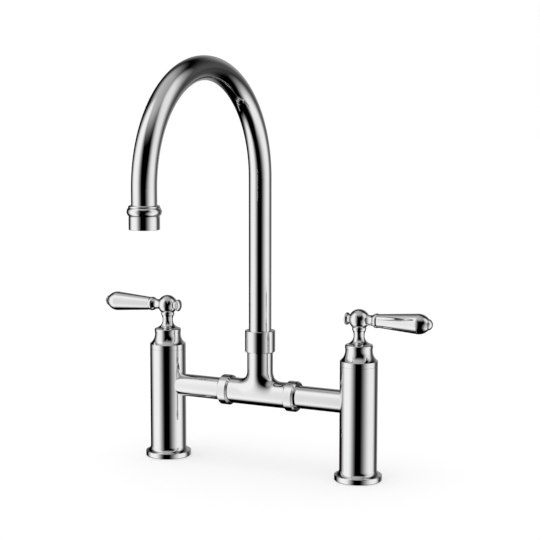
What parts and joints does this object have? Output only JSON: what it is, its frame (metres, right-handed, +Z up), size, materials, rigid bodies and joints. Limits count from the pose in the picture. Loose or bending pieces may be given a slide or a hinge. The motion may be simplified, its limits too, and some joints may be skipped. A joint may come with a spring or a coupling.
{
  "type": "bridge kitchen faucet",
  "caption": "Bridge kitchen faucet with pillar valves and lever handles, a raised cross pipe with a central tee, and a swivelling swan-neck spout ending in an aerator.",
  "frame": {"origin": "on the deck, midway between the two pillars' axes, on the spout's swivel axis", "axes": "+Z up from the deck, +X from the left pillar to the right one as the user sees them, -Y from the swivel towards the outlet and the user"},
  "size_m": [0.3448, 0.2338, 0.3825],
  "materials": {
    "chrome": "polished chrome plate on brass",
    "brass": "machined brass",
    "stainless": "bright stainless steel",
    "rubber": "black nitrile rubber",
    "ceramic": "lapped alumina ceramic",
    "fibre": "red fibre washer",
    "acetal": "white acetal"
  },
  "bodies": {
    "bridge": {"left_pillar": "chrome", "left_deck_gasket": "rubber", "left_seat_seal": "rubber", "left_fixed_disc": "ceramic", "left_cartridge_body": "brass", "left_cartridge_washer": "fibre", "left_bonnet": "chrome", "left_hub_bush": "acetal", "left_arm_pipe": "chrome", "left_union_washer": "fibre", "left_union_nut": "chrome", "right_pillar": "chrome", "right_deck_gasket": "rubber", "right_seat_seal": "rubber", "right_fixed_disc": "ceramic", "right_cartridge_body": "brass", "right_cartridge_washer": "fibre", "right_bonnet": "chrome", "right_hub_bush": "acetal", "right_arm_pipe": "chrome", "right_union_washer": "fibre", "right_union_nut": "chrome", "bridge_tee": "chrome", "swivel_nut": "chrome", "swivel_washer": "acetal"},
    "left_handle": {"left_turning_disc": "ceramic", "left_spindle": "brass", "left_spindle_o_rings": "rubber", "left_thrust_washer": "acetal", "left_spindle_clip": "stainless", "left_lever_hub": "chrome", "left_lever_arm": "chrome", "left_lever_grip": "chrome", "left_lever_tip": "chrome", "left_back_button": "chrome"},
    "right_handle": {"right_turning_disc": "ceramic", "right_spindle": "brass", "right_spindle_o_rings": "rubber", "right_thrust_washer": "acetal", "right_spindle_clip": "stainless", "right_lever_hub": "chrome", "right_lever_arm": "chrome", "right_lever_grip": "chrome", "right_lever_tip": "chrome", "right_back_button": "chrome"},
    "spout": {"spout_spigot": "brass", "spout_ring": "stainless", "spout_o_rings": "rubber", "spout_tube": "chrome", "outlet_bead": "chrome", "outlet_washer": "rubber", "aerator_shell": "chrome", "aerator_insert": "acetal", "aerator_screen": "stainless"}
  },
  "joints": [
    {"name": "left_handle_turn", "type": "hinge", "parent": "bridge", "child": "left_handle", "pos_m": [-0.1016, 0, 0.148], "axis": [0, 0, 1], "range_deg": [0, 90]},
    {"name": "right_handle_turn", "type": "hinge", "parent": "bridge", "child": "right_handle", "pos_m": [0.1016, 0, 0.148], "axis": [0, 0, -1], "range_deg": [0, 90]},
    {"name": "spout_swivel", "type": "hinge", "parent": "bridge", "child": "spout", "pos_m": [0, 0, 0.13], "axis": [0, 0, 1], "continuous": true}
  ]
}
